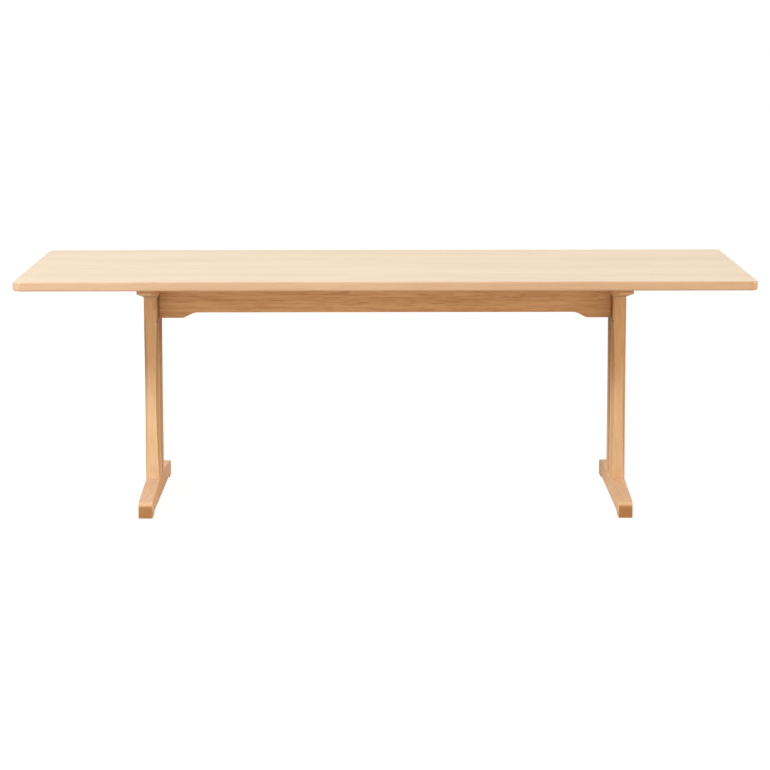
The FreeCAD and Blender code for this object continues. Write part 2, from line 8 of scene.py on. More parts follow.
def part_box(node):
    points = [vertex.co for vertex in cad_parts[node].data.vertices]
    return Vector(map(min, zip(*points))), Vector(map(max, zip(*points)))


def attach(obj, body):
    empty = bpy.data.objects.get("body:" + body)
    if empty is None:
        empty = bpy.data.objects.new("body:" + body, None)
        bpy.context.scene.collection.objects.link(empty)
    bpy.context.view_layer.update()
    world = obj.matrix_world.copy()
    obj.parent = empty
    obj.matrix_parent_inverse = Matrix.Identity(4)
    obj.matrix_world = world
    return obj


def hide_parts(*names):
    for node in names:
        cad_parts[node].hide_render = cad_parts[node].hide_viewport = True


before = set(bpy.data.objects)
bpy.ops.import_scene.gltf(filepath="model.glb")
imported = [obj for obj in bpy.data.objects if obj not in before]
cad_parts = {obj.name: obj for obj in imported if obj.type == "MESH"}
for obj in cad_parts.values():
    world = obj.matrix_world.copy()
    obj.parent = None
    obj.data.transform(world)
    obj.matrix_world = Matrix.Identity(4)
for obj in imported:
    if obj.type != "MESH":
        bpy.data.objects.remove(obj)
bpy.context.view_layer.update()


# Camera
# A long lens a little above head height, straight in front of the table and tipped down, so
# that the top shows as a narrow band and the trestles stand nearly upright.

camera_data = bpy.data.cameras.new("front_camera")
camera_data.sensor_width = 36.0
camera_data.lens = 132.35
camera_data.clip_end = 300.0
camera = bpy.data.objects.new("front_camera", camera_data)
camera.location = (-0.015, -8.778, 1.6265)
tip_down = math.radians(90.0 - 8.262)
camera.rotation_euler = Euler((tip_down, math.radians(0.073), math.radians(-0.1055)))
bpy.context.collection.objects.link(camera)
bpy.context.scene.camera = camera
bpy.context.scene.view_settings.view_transform = "Standard"


# Studio
# A seamless white ground under an even white room. A cool soft box stands far out at the left
# in front, low enough to reach under the top. A weak one in front and one at the right fill in.

ground_mesh = bpy.data.meshes.new("white_ground")
ground_reach = 90.0
ground_mesh.from_pydata(
    [
        (-ground_reach, -ground_reach, 0),
        (ground_reach, -ground_reach, 0),
        (ground_reach, ground_reach, 0),
        (-ground_reach, ground_reach, 0),
    ],
    [],
    [(0, 1, 2, 3)],
)
ground = bpy.data.objects.new("white_ground", ground_mesh)
bpy.context.collection.objects.link(ground)

ground_paper = bpy.data.materials.new("ground_paper")
ground_paper.use_nodes = True
paper_nodes = ground_paper.node_tree.nodes
paper_links = ground_paper.node_tree.links
paper = paper_nodes["Principled BSDF"]
paper.inputs["Roughness"].default_value = 1.0
paper.inputs["Specular IOR Level"].default_value = 0.0
paper_ray = paper_nodes.new("ShaderNodeLightPath")
paper_tone = paper_nodes.new("ShaderNodeMix")
paper_tone.data_type = "RGBA"
paper_tone.inputs[6].default_value = (0.62, 0.595, 0.51, 1)
paper_tone.inputs[7].default_value = (0.12, 0.12, 0.12, 1)
paper_glow = paper_nodes.new("ShaderNodeMapRange")
paper_glow.inputs["To Min"].default_value = 0.16
paper_glow.inputs["To Max"].default_value = 0.95
paper_links.new(paper_ray.outputs["Is Camera Ray"], paper_tone.inputs[0])
paper_links.new(paper_ray.outputs["Is Camera Ray"], paper_glow.inputs["Value"])
paper_links.new(paper_tone.outputs[2], paper.inputs["Base Color"])
paper_links.new(paper_glow.outputs["Result"], paper.inputs["Emission Strength"])
paper.inputs["Emission Color"].default_value = (1, 1, 1, 1)
ground_mesh.materials.append(ground_paper)

room = bpy.data.worlds.new("white_room")
bpy.context.scene.world = room
room.use_nodes = True
room_nodes = room.node_tree.nodes
room_light = room_nodes["Background"]
room_ray = room_nodes.new("ShaderNodeLightPath")
room_tone = room_nodes.new("ShaderNodeMix")
room_tone.data_type = "RGBA"
room_tone.inputs[6].default_value = (1.0, 0.97, 0.87, 1)
room_tone.inputs[7].default_value = (1, 1, 1, 1)
room_glow = room_nodes.new("ShaderNodeMapRange")
room_glow.inputs["To Min"].default_value = 1.05
room_glow.inputs["To Max"].default_value = 0.62
room.node_tree.links.new(room_ray.outputs["Is Camera Ray"], room_tone.inputs[0])
room.node_tree.links.new(room_ray.outputs["Is Diffuse Ray"], room_glow.inputs["Value"])
room.node_tree.links.new(room_tone.outputs[2], room_light.inputs["Color"])
room.node_tree.links.new(room_glow.outputs["Result"], room_light.inputs["Strength"])


def soft_box(name, place, aim, wide, tall, watts, colour):
    data = bpy.data.lights.new(name, "AREA")
    data.shape = "RECTANGLE"
    data.size = wide
    data.size_y = tall
    data.energy = watts
    data.color = colour
    lamp = bpy.data.objects.new(name, data)
    lamp.location = place
    lamp.rotation_euler = (Vector(aim) - Vector(place)).to_track_quat("-Z", "Y").to_euler()
    bpy.context.collection.objects.link(lamp)


soft_box("front_box", (-4.4, -4.6, 4.3), (0.0, 0.0, 0.4), 2.2, 1.4, 650, (0.51, 0.72, 1.0))
soft_box("fill_box", (0.8, -7.4, 1.1), (0.0, 0.0, 0.45), 3.4, 1.6, 18, (1.0, 0.97, 0.88))
soft_box("side_box", (6.0, -0.8, 1.4), (0.0, 0.0, 0.35), 2.4, 2.0, 110, (1.0, 0.98, 0.95))


# Top
# Eight solid beech boards as long as the table, glued edge to edge and planed flat, with
# rounded corners and edges and a soap finish that leaves the wood nearly matt. Their upper
# faces are painted paler, a painted sheen.


def feed(tree, socket, value):
    if isinstance(value, bpy.types.NodeSocket):
        tree.links.new(value, socket)
    else:
        socket.default_value = value


def sum_up(tree, operation, *values):
    node = tree.nodes.new("ShaderNodeMath")
    node.operation = operation
    for socket, value in zip(node.inputs, values):
        feed(tree, socket, value)
    return node.outputs["Value"]


def sum_vectors(tree, operation, *values):
    node = tree.nodes.new("ShaderNodeVectorMath")
    node.operation = operation
    for socket, value in zip(node.inputs, values):
        feed(tree, socket, value)
    single = operation in ("LENGTH", "DOT_PRODUCT")
    return node.outputs["Value" if single else "Vector"]


def mottle(tree, place, size, detail=2.0, out="Fac"):
    """Soft noise whose lumps have the given size: one number, or one for each axis."""
    node = tree.nodes.new("ShaderNodeTexNoise")
    node.inputs["Scale"].default_value = 1.0
    node.inputs["Detail"].default_value = detail
    sizes = size if isinstance(size, tuple) else (size, size, size)
    stretched = sum_vectors(tree, "MULTIPLY", place, tuple(1 / one for one in sizes))
    tree.links.new(stretched, node.inputs["Vector"])
    return node.outputs[out]


def mottle_along(tree, distance, detail=2.0):
    node = tree.nodes.new("ShaderNodeTexNoise")
    node.noise_dimensions = "1D"
    node.inputs["Scale"].default_value = 1.0
    node.inputs["Detail"].default_value = detail
    tree.links.new(distance, node.inputs["W"])
    return node.outputs["Fac"]


def slide(tree, value, low, high, at_low=0.0, at_high=1.0):
    """A soft step from one value to another."""
    node = tree.nodes.new("ShaderNodeMapRange")
    node.interpolation_type = "SMOOTHSTEP"
    for name, number in (("Value", value), ("From Min", low), ("From Max", high)):
        feed(tree, node.inputs[name], number)
    for name, number in (("To Min", at_low), ("To Max", at_high)):
        feed(tree, node.inputs[name], number)
    return node.outputs["Result"]


def tint(tree, share, first, second, mode="MIX"):
    node = tree.nodes.new("ShaderNodeMix")
    node.data_type = "RGBA"
    node.blend_type = mode
    feed(tree, node.inputs[0], share)
    feed(tree, node.inputs[6], first)
    feed(tree, node.inputs[7], second)
    return node.outputs[2]


def new_effect(name, takes, gives):
    """An empty node group with the given sockets, and its input and output nodes."""
    tree = bpy.data.node_groups.new(name, "ShaderNodeTree")
    for label, kind, value in takes:
        socket = tree.interface.new_socket(label, in_out="INPUT", socket_type="NodeSocket" + kind)
        socket.default_value = value
    for label, kind in gives:
        tree.interface.new_socket(label, in_out="OUTPUT", socket_type="NodeSocket" + kind)
    return tree, tree.nodes.new("NodeGroupInput").outputs, tree.nodes.new("NodeGroupOutput").inputs


def make_wood_figure():
    """Growth rings round the heart of the log, late wood, fibres, ray flecks and end grain."""
    tree, given, result = new_effect(
        "wood_figure",
        [
            ("Place", "Vector", (0, 0, 0)),
            ("Grain", "Vector", (1, 0, 0)),
            ("Heart", "Vector", (0, 0, -0.06)),
            ("Lean", "Vector", (0, 0, 0.01)),
            ("Ring", "Float", 0.0023),
            ("Early", "Color", (0.8, 0.6, 0.4, 1)),
            ("Late", "Color", (0.6, 0.4, 0.25, 1)),
            ("End", "Color", (0.5, 0.3, 0.2, 1)),
            ("Contrast", "Float", 0.5),
        ],
        [("Colour", "Color"), ("Roughness", "Float"), ("Height", "Float")],
    )
    place = given["Place"]
    from_heart = sum_vectors(tree, "SUBTRACT", place, given["Heart"])
    sway = mottle(tree, from_heart, (0.55, 0.11, 0.11), 2.0, "Color")
    sway = sum_vectors(tree, "SUBTRACT", sway, (0.5, 0.5, 0.5))
    sway = sum_vectors(tree, "MULTIPLY", sway, (0, 0.034, 0.034))
    ripple = mottle(tree, from_heart, (0.09, 0.03, 0.03), 1.0, "Color")
    ripple = sum_vectors(tree, "SUBTRACT", ripple, (0.5, 0.5, 0.5))
    ripple = sum_vectors(tree, "MULTIPLY", ripple, (0, 0.0034, 0.0034))
    split = tree.nodes.new("ShaderNodeSeparateXYZ")
    tree.links.new(from_heart, split.inputs[0])
    lean = sum_vectors(tree, "SCALE", given["Lean"])
    tree.links.new(split.outputs["X"], lean.node.inputs["Scale"])
    bent = sum_vectors(tree, "ADD", from_heart, sway)
    bent = sum_vectors(tree, "ADD", bent, ripple)
    bent = sum_vectors(tree, "ADD", bent, lean)
    across = sum_vectors(tree, "MULTIPLY", bent, (0, 1, 1))
    radius = sum_vectors(tree, "LENGTH", across)
    ring_number = sum_up(tree, "DIVIDE", radius, given["Ring"])
    slow = mottle_along(tree, sum_up(tree, "MULTIPLY", ring_number, 0.21), 2.0)
    uneven = mottle_along(tree, sum_up(tree, "MULTIPLY", ring_number, 0.9), 1.0)
    shifted = sum_up(tree, "MULTIPLY_ADD", uneven, 0.8, ring_number)
    through_ring = sum_up(tree, "FRACT", shifted)
    late_line = sum_up(tree, "POWER", through_ring, 2.6)
    hard_years = mottle_along(tree, sum_up(tree, "MULTIPLY", ring_number, 0.47), 1.0)
    strong = slide(tree, hard_years, 0.32, 0.68, 0.35, 1.0)
    late_line = sum_up(tree, "MULTIPLY", late_line, strong)
    fibre = mottle(tree, place, (0.060, 0.0011, 0.0011), 3.0)
    streak = mottle(tree, place, (0.30, 0.0075, 0.0075), 2.0)
    share = sum_up(tree, "MULTIPLY", slide(tree, slow, 0.25, 0.75), 0.55)
    share = sum_up(tree, "MULTIPLY_ADD", late_line, 0.62, share)
    share = sum_up(tree, "MULTIPLY_ADD", slide(tree, streak, 0.2, 0.8), 0.30, share)
    share = sum_up(tree, "MULTIPLY_ADD", slide(tree, fibre, 0.2, 0.8), 0.20, share)
    dash = mottle(tree, place, (0.055, 0.0042, 0.0042), 2.0)
    share = sum_up(tree, "MULTIPLY_ADD", slide(tree, dash, 0.45, 0.72), 0.42, share)
    share = sum_up(tree, "SUBTRACT", share, 0.40)
    share = sum_up(tree, "MULTIPLY", share, given["Contrast"])
    share = sum_up(tree, "ADD", share, 0.16)
    colour = tint(tree, share, given["Early"], given["Late"])
    rays = tree.nodes.new("ShaderNodeTexVoronoi")
    rays.inputs["Scale"].default_value = 1.0
    ray_place = sum_vectors(tree, "MULTIPLY", place, (210, 1150, 1150))
    tree.links.new(ray_place, rays.inputs["Vector"])
    fleck = slide(tree, rays.outputs["Distance"], 0.12, 0.26, 1.0, 0.0)
    thinning = slide(tree, mottle(tree, place, 0.012, 1.0), 0.42, 0.62)
    fleck = sum_up(tree, "MULTIPLY", fleck, thinning)
    colour = tint(tree, sum_up(tree, "MULTIPLY", fleck, 0.34), colour, given["Late"])
    cloud = mottle(tree, place, (0.42, 0.16, 0.16), 2.0)
    cloud = slide(tree, cloud, 0.25, 0.75, 0.955, 1.035)
    shade = tree.nodes.new("ShaderNodeCombineXYZ")
    tree.links.new(cloud, shade.inputs[0])
    tree.links.new(sum_up(tree, "POWER", cloud, 1.5), shade.inputs[1])
    tree.links.new(sum_up(tree, "POWER", cloud, 2.2), shade.inputs[2])
    colour = tint(tree, 1.0, colour, shade.outputs[0], "MULTIPLY")
    outward = tree.nodes.new("ShaderNodeNewGeometry").outputs["Normal"]
    facing = sum_up(tree, "ABSOLUTE", sum_vectors(tree, "DOT_PRODUCT", outward, given["Grain"]))
    is_end = slide(tree, facing, 0.80, 0.995)
    pores = slide(tree, mottle(tree, place, (0.4, 0.0004, 0.0004), 1.0), 0.35, 0.7)
    end_share = sum_up(tree, "MULTIPLY_ADD", late_line, 0.5, sum_up(tree, "MULTIPLY", pores, 0.3))
    end_colour = tint(tree, end_share, given["End"], given["Late"], "MULTIPLY")
    tree.links.new(tint(tree, is_end, colour, end_colour), result["Colour"])
    dull = sum_up(tree, "MULTIPLY_ADD", fibre, 0.16, 0.42)
    dull = sum_up(tree, "MULTIPLY_ADD", is_end, 0.18, dull)
    tree.links.new(sum_up(tree, "MULTIPLY_ADD", late_line, -0.05, dull), result["Roughness"])
    relief = sum_up(tree, "MULTIPLY_ADD", late_line, 0.5, fibre)
    relief = sum_up(tree, "MULTIPLY_ADD", fleck, -0.8, relief)
    tree.links.new(relief, result["Height"])
    return tree


def make_arris_wear():
    """Where hands and cloths rub: a band along the arrises of the box from Low to High."""
    tree, given, result = new_effect(
        "arris_wear",
        [
            ("Place", "Vector", (0, 0, 0)),
            ("Low", "Vector", (0, 0, 0)),
            ("High", "Vector", (1, 1, 1)),
            ("Reach", "Float", 0.006),
        ],
        [("Wear", "Float")],
    )
    from_low = sum_vectors(tree, "SUBTRACT", given["Place"], given["Low"])
    from_high = sum_vectors(tree, "SUBTRACT", given["High"], given["Place"])
    nearest = tree.nodes.new("ShaderNodeSeparateXYZ")
    tree.links.new(sum_vectors(tree, "MINIMUM", from_low, from_high), nearest.inputs[0])
    x, y, z = nearest.outputs
    least = sum_up(tree, "MINIMUM", sum_up(tree, "MINIMUM", x, y), z)
    most = sum_up(tree, "MAXIMUM", sum_up(tree, "MAXIMUM", x, y), z)
    total = sum_up(tree, "ADD", sum_up(tree, "ADD", x, y), z)
    to_arris = sum_up(tree, "SUBTRACT", sum_up(tree, "SUBTRACT", total, least), most)
    band = slide(tree, to_arris, 0.0, given["Reach"], 1.0, 0.0)
    patches = slide(tree, mottle(tree, given["Place"], 0.045, 3.0), 0.35, 0.62, 0.25, 1.0)
    tree.links.new(sum_up(tree, "MULTIPLY", band, patches), result["Wear"])
    return tree


def make_painted_corner_shade():
    """Painted shade in the corner against the box of another piece, on the faces that look
    along one direction."""
    tree, given, result = new_effect(
        "painted_corner_shade",
        [
            ("Place", "Vector", (0, 0, 0)),
            ("Low", "Vector", (0, 0, 0)),
            ("High", "Vector", (1, 1, 1)),
            ("Reach", "Float", 0.02),
            ("Facing", "Vector", (1, 0, 0)),
            ("Strength", "Float", 0.4),
        ],
        [("Shade", "Float")],
    )
    below = sum_vectors(tree, "SUBTRACT", given["Low"], given["Place"])
    above = sum_vectors(tree, "SUBTRACT", given["Place"], given["High"])
    outside = sum_vectors(tree, "MAXIMUM", below, above)
    outside = sum_vectors(tree, "MAXIMUM", outside, (0, 0, 0))
    distance = sum_vectors(tree, "LENGTH", outside)
    near = slide(tree, distance, 0.0, given["Reach"], 1.0, 0.0)
    outward = tree.nodes.new("ShaderNodeNewGeometry").outputs["Normal"]
    turned_to = sum_up(tree, "ABSOLUTE", sum_vectors(tree, "DOT_PRODUCT", outward, given["Facing"]))
    near = sum_up(tree, "MULTIPLY", near, slide(tree, turned_to, 0.5, 0.95))
    tree.links.new(sum_up(tree, "MULTIPLY", near, given["Strength"]), result["Shade"])
    return tree


wood_figure = make_wood_figure()
arris_wear = make_arris_wear()
painted_corner_shade = make_painted_corner_shade()
GRAIN_AXES = {"X": (1, 0, 0), "Y": (0, 1, 0), "Z": (0, 0, 1)}


def wood_finish(
    name, grain, box, heart, lean, ring, colours, contrast,
    coat=0.15, painted_sheen=None, corners=(), bevels=None,
):
    """Wood whose grain runs along one axis. The heart and the lean of the log are given along
    the other two axes, as seen from the middle of the box."""
    material = bpy.data.materials.new(name)
    material.use_nodes = True
    tree = material.node_tree
    low, high = box
    middle = (Vector(low) + Vector(high)) / 2
    place = tree.nodes.new("ShaderNodeTexCoord").outputs["Object"]
    split = tree.nodes.new("ShaderNodeSeparateXYZ")
    tree.links.new(place, split.inputs[0])
    turned = tree.nodes.new("ShaderNodeCombineXYZ")
    order = grain + "XYZ".replace(grain, "")
    for socket, letter in zip(turned.inputs, order):
        tree.links.new(split.outputs[letter], socket)
    axes = ["XYZ".index(letter) for letter in order]
    figure = tree.nodes.new("ShaderNodeGroup")
    figure.node_tree = wood_figure
    tree.links.new(turned.outputs[0], figure.inputs["Place"])
    figure.inputs["Grain"].default_value = GRAIN_AXES[grain]
    figure.inputs["Heart"].default_value = (
        middle[axes[0]],
        middle[axes[1]] + heart[0],
        middle[axes[2]] + heart[1],
    )
    figure.inputs["Lean"].default_value = (0, lean[0], lean[1])
    figure.inputs["Ring"].default_value = ring
    for label, colour in zip(("Early", "Late", "End"), colours):
        figure.inputs[label].default_value = (*colour, 1)
    figure.inputs["Contrast"].default_value = contrast
    wear = tree.nodes.new("ShaderNodeGroup")
    wear.node_tree = arris_wear
    tree.links.new(place, wear.inputs["Place"])
    wear.inputs["Low"].default_value = low
    wear.inputs["High"].default_value = high
    rubbed = sum_up(tree, "MULTIPLY", wear.outputs["Wear"], 0.22)
    colour = tint(tree, rubbed, figure.outputs["Colour"], (*colours[1], 1))
    rough = sum_up(tree, "MULTIPLY_ADD", wear.outputs["Wear"], -0.10, figure.outputs["Roughness"])
    # Painted shade: the bevels, turned halfway between X and Y, are painted darker.
    if bevels:
        slant = tree.nodes.new("ShaderNodeSeparateXYZ")
        tree.links.new(tree.nodes.new("ShaderNodeNewGeometry").outputs["Normal"], slant.inputs[0])
        both = sum_up(tree, "MULTIPLY", slant.outputs["X"], slant.outputs["Y"])
        is_bevel = slide(tree, sum_up(tree, "ABSOLUTE", both), 0.15, 0.42)
        colour = tint(tree, is_bevel, colour, tint(tree, 1.0, colour, (*bevels, 1), "MULTIPLY"))
    # Painted shade: faces turned along the given direction are painted darker near another piece's
    # box.
    for corner_box, facing, reach, strength in corners:
        shade = tree.nodes.new("ShaderNodeGroup")
        shade.node_tree = painted_corner_shade
        tree.links.new(place, shade.inputs["Place"])
        shade.inputs["Low"].default_value = corner_box[0]
        shade.inputs["High"].default_value = corner_box[1]
        shade.inputs["Facing"].default_value = facing
        shade.inputs["Reach"].default_value = reach
        shade.inputs["Strength"].default_value = strength
        darker = tint(tree, 1.0, colour, (0.42, 0.32, 0.22, 1), "MULTIPLY")
        colour = tint(tree, shade.outputs["Shade"], colour, darker)
    # Painted sheen: faces turned upwards are painted paler.
    if painted_sheen:
        outward = tree.nodes.new("ShaderNodeSeparateXYZ")
        tree.links.new(tree.nodes.new("ShaderNodeNewGeometry").outputs["Normal"], outward.inputs[0])
        upper_face = slide(tree, outward.outputs["Z"], 0.40, 0.99)
        paler = tint(tree, 1.0, colour, (*painted_sheen, 1), "MULTIPLY")
        colour = tint(tree, upper_face, colour, paler)
    shader = tree.nodes["Principled BSDF"]
    tree.links.new(colour, shader.inputs["Base Color"])
    tree.links.new(rough, shader.inputs["Roughness"])
    bump = tree.nodes.new("ShaderNodeBump")
    bump.inputs["Strength"].default_value = 0.35
    bump.inputs["Distance"].default_value = 0.00012
    tree.links.new(figure.outputs["Height"], bump.inputs["Height"])
    tree.links.new(bump.outputs["Normal"], shader.inputs["Normal"])
    shader.inputs["Specular IOR Level"].default_value = 0.5 if coat > 0.5 else 0.22
    shader.inputs["Coat Weight"].default_value = coat
    shader.inputs["Coat Roughness"].default_value = 0.22
    return material


def finish_node(name, material):
    for material_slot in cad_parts[name].material_slots:
        material_slot.material = material


top_low, top_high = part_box("top_board_1")
top_low, top_high = Vector(top_low), Vector(top_high)
for number in range(2, 9):
    low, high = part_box(f"top_board_{number}")
    top_low = Vector(map(min, top_low, low))
    top_high = Vector(map(max, top_high, high))

top_early = (0.67, 0.357, 0.170)
top_late = (0.505, 0.235, 0.098)
top_end = (0.56, 0.31, 0.15)
# Painted sheen that makes the top's upper faces paler.
top_painted_sheen = (1.26, 1.53, 1.77)
top_ring, top_contrast = 0.0024, 0.42
# For each board: the log's heart across and below the board, and how the log leans.
top_logs = [
    ((0.020, -0.075), (0.012, -0.006)),
    ((-0.085, -0.050), (-0.004, 0.008)),
    ((0.010, -0.110), (0.006, 0.014)),
    ((0.075, -0.040), (-0.010, 0.004)),
    ((-0.015, -0.062), (0.008, -0.012)),
    ((-0.120, -0.070), (0.003, 0.006)),
    ((0.030, -0.090), (-0.009, 0.010)),
    ((-0.030, -0.058), (0.011, 0.007)),
]
board_shades = (1.0, 0.975, 1.015, 0.985, 1.01, 0.97, 1.0, 0.99)
for number, ((heart, lean), depth) in enumerate(zip(top_logs, board_shades), 1):
    board = f"top_board_{number}"
    board_tint = (depth, depth**1.5, depth**2.2)
    colours = [
        [channel * share for channel, share in zip(colour, board_tint)]
        for colour in (top_early, top_late, top_end)
    ]
    material = wood_finish(
        f"beech_{board}", "X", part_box(board), heart, lean, top_ring, colours, top_contrast,
        coat=0.7, painted_sheen=top_painted_sheen,
    )
    for node in material.node_tree.nodes:
        if node.type == "GROUP" and node.node_tree == arris_wear:
            node.inputs["Low"].default_value = top_low
            node.inputs["High"].default_value = top_high
    finish_node(board, material)


# Trestles
# Beech again, each a foot, two posts side by side, a head block and a bearer, joined with
# mortise and tenon. The grain runs along each piece, and the cut ends look darker.

trestle_early = (0.83, 0.470, 0.223)
trestle_late = (0.62, 0.30, 0.125)
trestle_end = (0.45, 0.188, 0.056)
bearer_end = (0.66, 0.34, 0.15)
# Painted shade for the posts' bevels.
painted_bevel_shade = (0.80, 0.74, 0.66)
# Painted sheen for the feet's upper faces.
foot_painted_sheen = (1.03, 1.09, 1.25)
trestle_ring, trestle_contrast = 0.0022, 0.6
trestle_logs = {
    "left_foot": ("Y", (0.016, -0.070), (0.010, 0.006)),
    "right_foot": ("Y", (-0.060, -0.045), (-0.006, 0.010)),
    "left_bearer": ("Y", (0.050, 0.030), (0.008, -0.005)),
    "right_bearer": ("Y", (-0.030, 0.055), (0.007, 0.009)),
    "left_front_post": ("Z", (0.012, 0.090), (0.012, 0.010)),
    "left_back_post": ("Z", (-0.050, 0.060), (-0.008, 0.012)),
    "right_front_post": ("Z", (-0.022, 0.070), (0.010, -0.012)),
    "right_back_post": ("Z", (0.060, -0.050), (0.009, 0.006)),
    "left_head_block": ("Z", (0.040, 0.050), (0.010, 0.004)),
    "right_head_block": ("Z", (-0.050, 0.030), (0.005, 0.010)),
}
rail_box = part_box("centre_rail")
# The rail's box drawn out across the table, for painted shade on the posts' bevels beside it.
beside_rail = [(corner[0], side * 0.5, corner[2]) for side, corner in zip((-1, 1), rail_box)]
for piece, (grain, heart, lean) in trestle_logs.items():
    cut_ends = bearer_end if "bearer" in piece else trestle_end
    colours = (trestle_early, trestle_late, cut_ends)
    side = piece.split("_")[0]
    post_boxes = [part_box(f"{side}_{face}_post") for face in ("front", "back")]
    # Painted shade where the bearers, feet and posts meet the posts and the rail.
    if "bearer" in piece:
        corners = [(post_box, (0, 0, 1), 0.34, 0.6) for post_box in post_boxes]
    elif "foot" in piece:
        corners = [(post_box, (0, 0, 1), 0.010, 0.30) for post_box in post_boxes]
    else:
        slant = math.sqrt(0.5)
        bevel_facing = (slant if side == "left" else -slant, -slant, 0)
        corners = [(rail_box, (1, 0, 0), 0.22, 1.0), (beside_rail, bevel_facing, 0.012, 0.95)]
    material = wood_finish(
        f"beech_{piece}", grain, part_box(piece), heart, lean, trestle_ring, colours,
        trestle_contrast,
        coat=0.0,
        painted_sheen=foot_painted_sheen if "foot" in piece else None,
        corners=corners,
        bevels=painted_bevel_shade if "post" in piece else None,
    )
    finish_node(piece, material)


# Head block dowels
# Fluted beech dowels, glued across the joints between each head block and its two posts, with
# bevelled ends and flutes that let the spare glue out.


def turned_ring(bm, where, radius, height, shape, steps):
    """One ring of a turned piece: round, or with a hexagon's, a flute's or a knurl's outline."""
    ring = []
    for step in range(steps):
        angle = 2 * math.pi * step / steps
        reach = radius
        if shape == "hexagon":
            reach = radius / math.cos((angle + math.pi / 6) % (math.pi / 3) - math.pi / 6)
        elif shape == "ridged" and step % 2:
            reach = radius * 0.955
        spot = Vector((reach * math.cos(angle), reach * math.sin(angle), height))
        ring.append(bm.verts.new(where @ spot))
    return ring


def turned_piece(name, places, direction, profile, steps=24, hollow=False):
    """One mesh with a copy of a turned shape at each place. The profile's points are (radius,
    height along the direction, outline); a direction is one for all, or one for each place."""
    bm = bmesh.new()
    directions = direction if isinstance(direction, list) else [direction] * len(places)
    for place, towards in zip(places, directions):
        turn = Vector(towards).to_track_quat("Z", "Y").to_matrix().to_4x4()
        where = Matrix.Translation(place) @ turn
        rings = []
        for radius, height, shape in profile:
            if radius == 0:
                rings.append([bm.verts.new(where @ Vector((0, 0, height)))])
            else:
                rings.append(turned_ring(bm, where, radius, height, shape, steps))
        pairs = list(zip(rings, rings[1:]))
        if hollow:
            pairs.append((rings[-1], rings[0]))
        for lower, upper in pairs:
            for step in range(steps):
                after = (step + 1) % steps
                corners = [lower[step % len(lower)], lower[after % len(lower)]]
                corners += [upper[after % len(upper)], upper[step % len(upper)]]
                bm.faces.new(list(dict.fromkeys(corners)))
    bmesh.ops.recalc_face_normals(bm, faces=bm.faces)
    mesh = bpy.data.meshes.new(name)
    bm.to_mesh(mesh)
    bm.free()
    for face in mesh.polygons:
        face.use_smooth = True
    mesh.set_sharp_from_angle(angle=math.radians(32))
    piece = bpy.data.objects.new(name, mesh)
    bpy.context.collection.objects.link(piece)
    return piece


def stand_for(piece, node, material):
    piece.data.materials.append(material)
    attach(piece, "root")
    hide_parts(node)


def spots(node, x_in, y_in, z_in):
    """The eight corners of a node's box, each drawn in towards its middle."""
    low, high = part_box(node)
    found = []
    for x in (low[0] + x_in, high[0] - x_in):
        for y in (low[1] + y_in, high[1] - y_in):
            for z in (low[2] + z_in, high[2] - z_in):
                found.append((x, y, z))
    return found


dowel_radius, dowel_long = 0.005, 0.036
dowels = turned_piece(
    "fluted_dowels",
    spots("head_block_dowels", dowel_radius, dowel_long / 2, dowel_radius),
    (0, 1, 0),
    [
        (0, -dowel_long / 2, "round"),
        (dowel_radius * 0.72, -dowel_long / 2, "round"),
        (dowel_radius, -dowel_long / 2 + 0.0016, "ridged"),
        (dowel_radius, dowel_long / 2 - 0.0016, "ridged"),
        (dowel_radius * 0.72, dowel_long / 2, "round"),
        (0, dowel_long / 2, "round"),
    ],
    48,
)
dowel_colours = ((0.80, 0.56, 0.33), (0.62, 0.37, 0.18), (0.55, 0.31, 0.15))
dowel_wood = wood_finish(
    "dowel_beech", "Y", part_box("head_block_dowels"), (0.01, 0.03), (0.0, 0.01), 0.002,
    dowel_colours, 0.6, coat=0.0,
)
stand_for(dowels, "head_block_dowels", dowel_wood)


# Rail
# One deep beech board on edge between the trestles, stepped up between its ends and bolted
# to the head blocks. Its warmer colours and darker late wood than the trestles' are partly
# painted shade from the top above it, and its faces show fine broken figure.

rail_early = (0.865, 0.478, 0.212)
rail_late = (0.56, 0.245, 0.085)
rail_end = (0.45, 0.20, 0.09)
rail_heart, rail_lean = (-0.026, 0.006), (0.030, 0.016)
rail_ring, rail_contrast = 0.0034, 1.0
# Painted shade on the rail's faces beside the front posts.
rail_wood = wood_finish(
    "beech_rail",
    "X",
    rail_box,
    rail_heart,
    rail_lean,
    rail_ring,
    (rail_early, rail_late, rail_end),
    rail_contrast,
    corners=[(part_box(f"{side}_front_post"), (0, 1, 0), 0.009, 0.45) for side in ("left", "right")],
)
finish_node("centre_rail", rail_wood)


# Rail bolts, washers and barrel nuts
# Zinc-plated M8 socket-cap bolts, two at each end of the rail, sunk into the head blocks'
# outer faces over plain washers. Each runs into a barrel nut set crosswise in the rail.


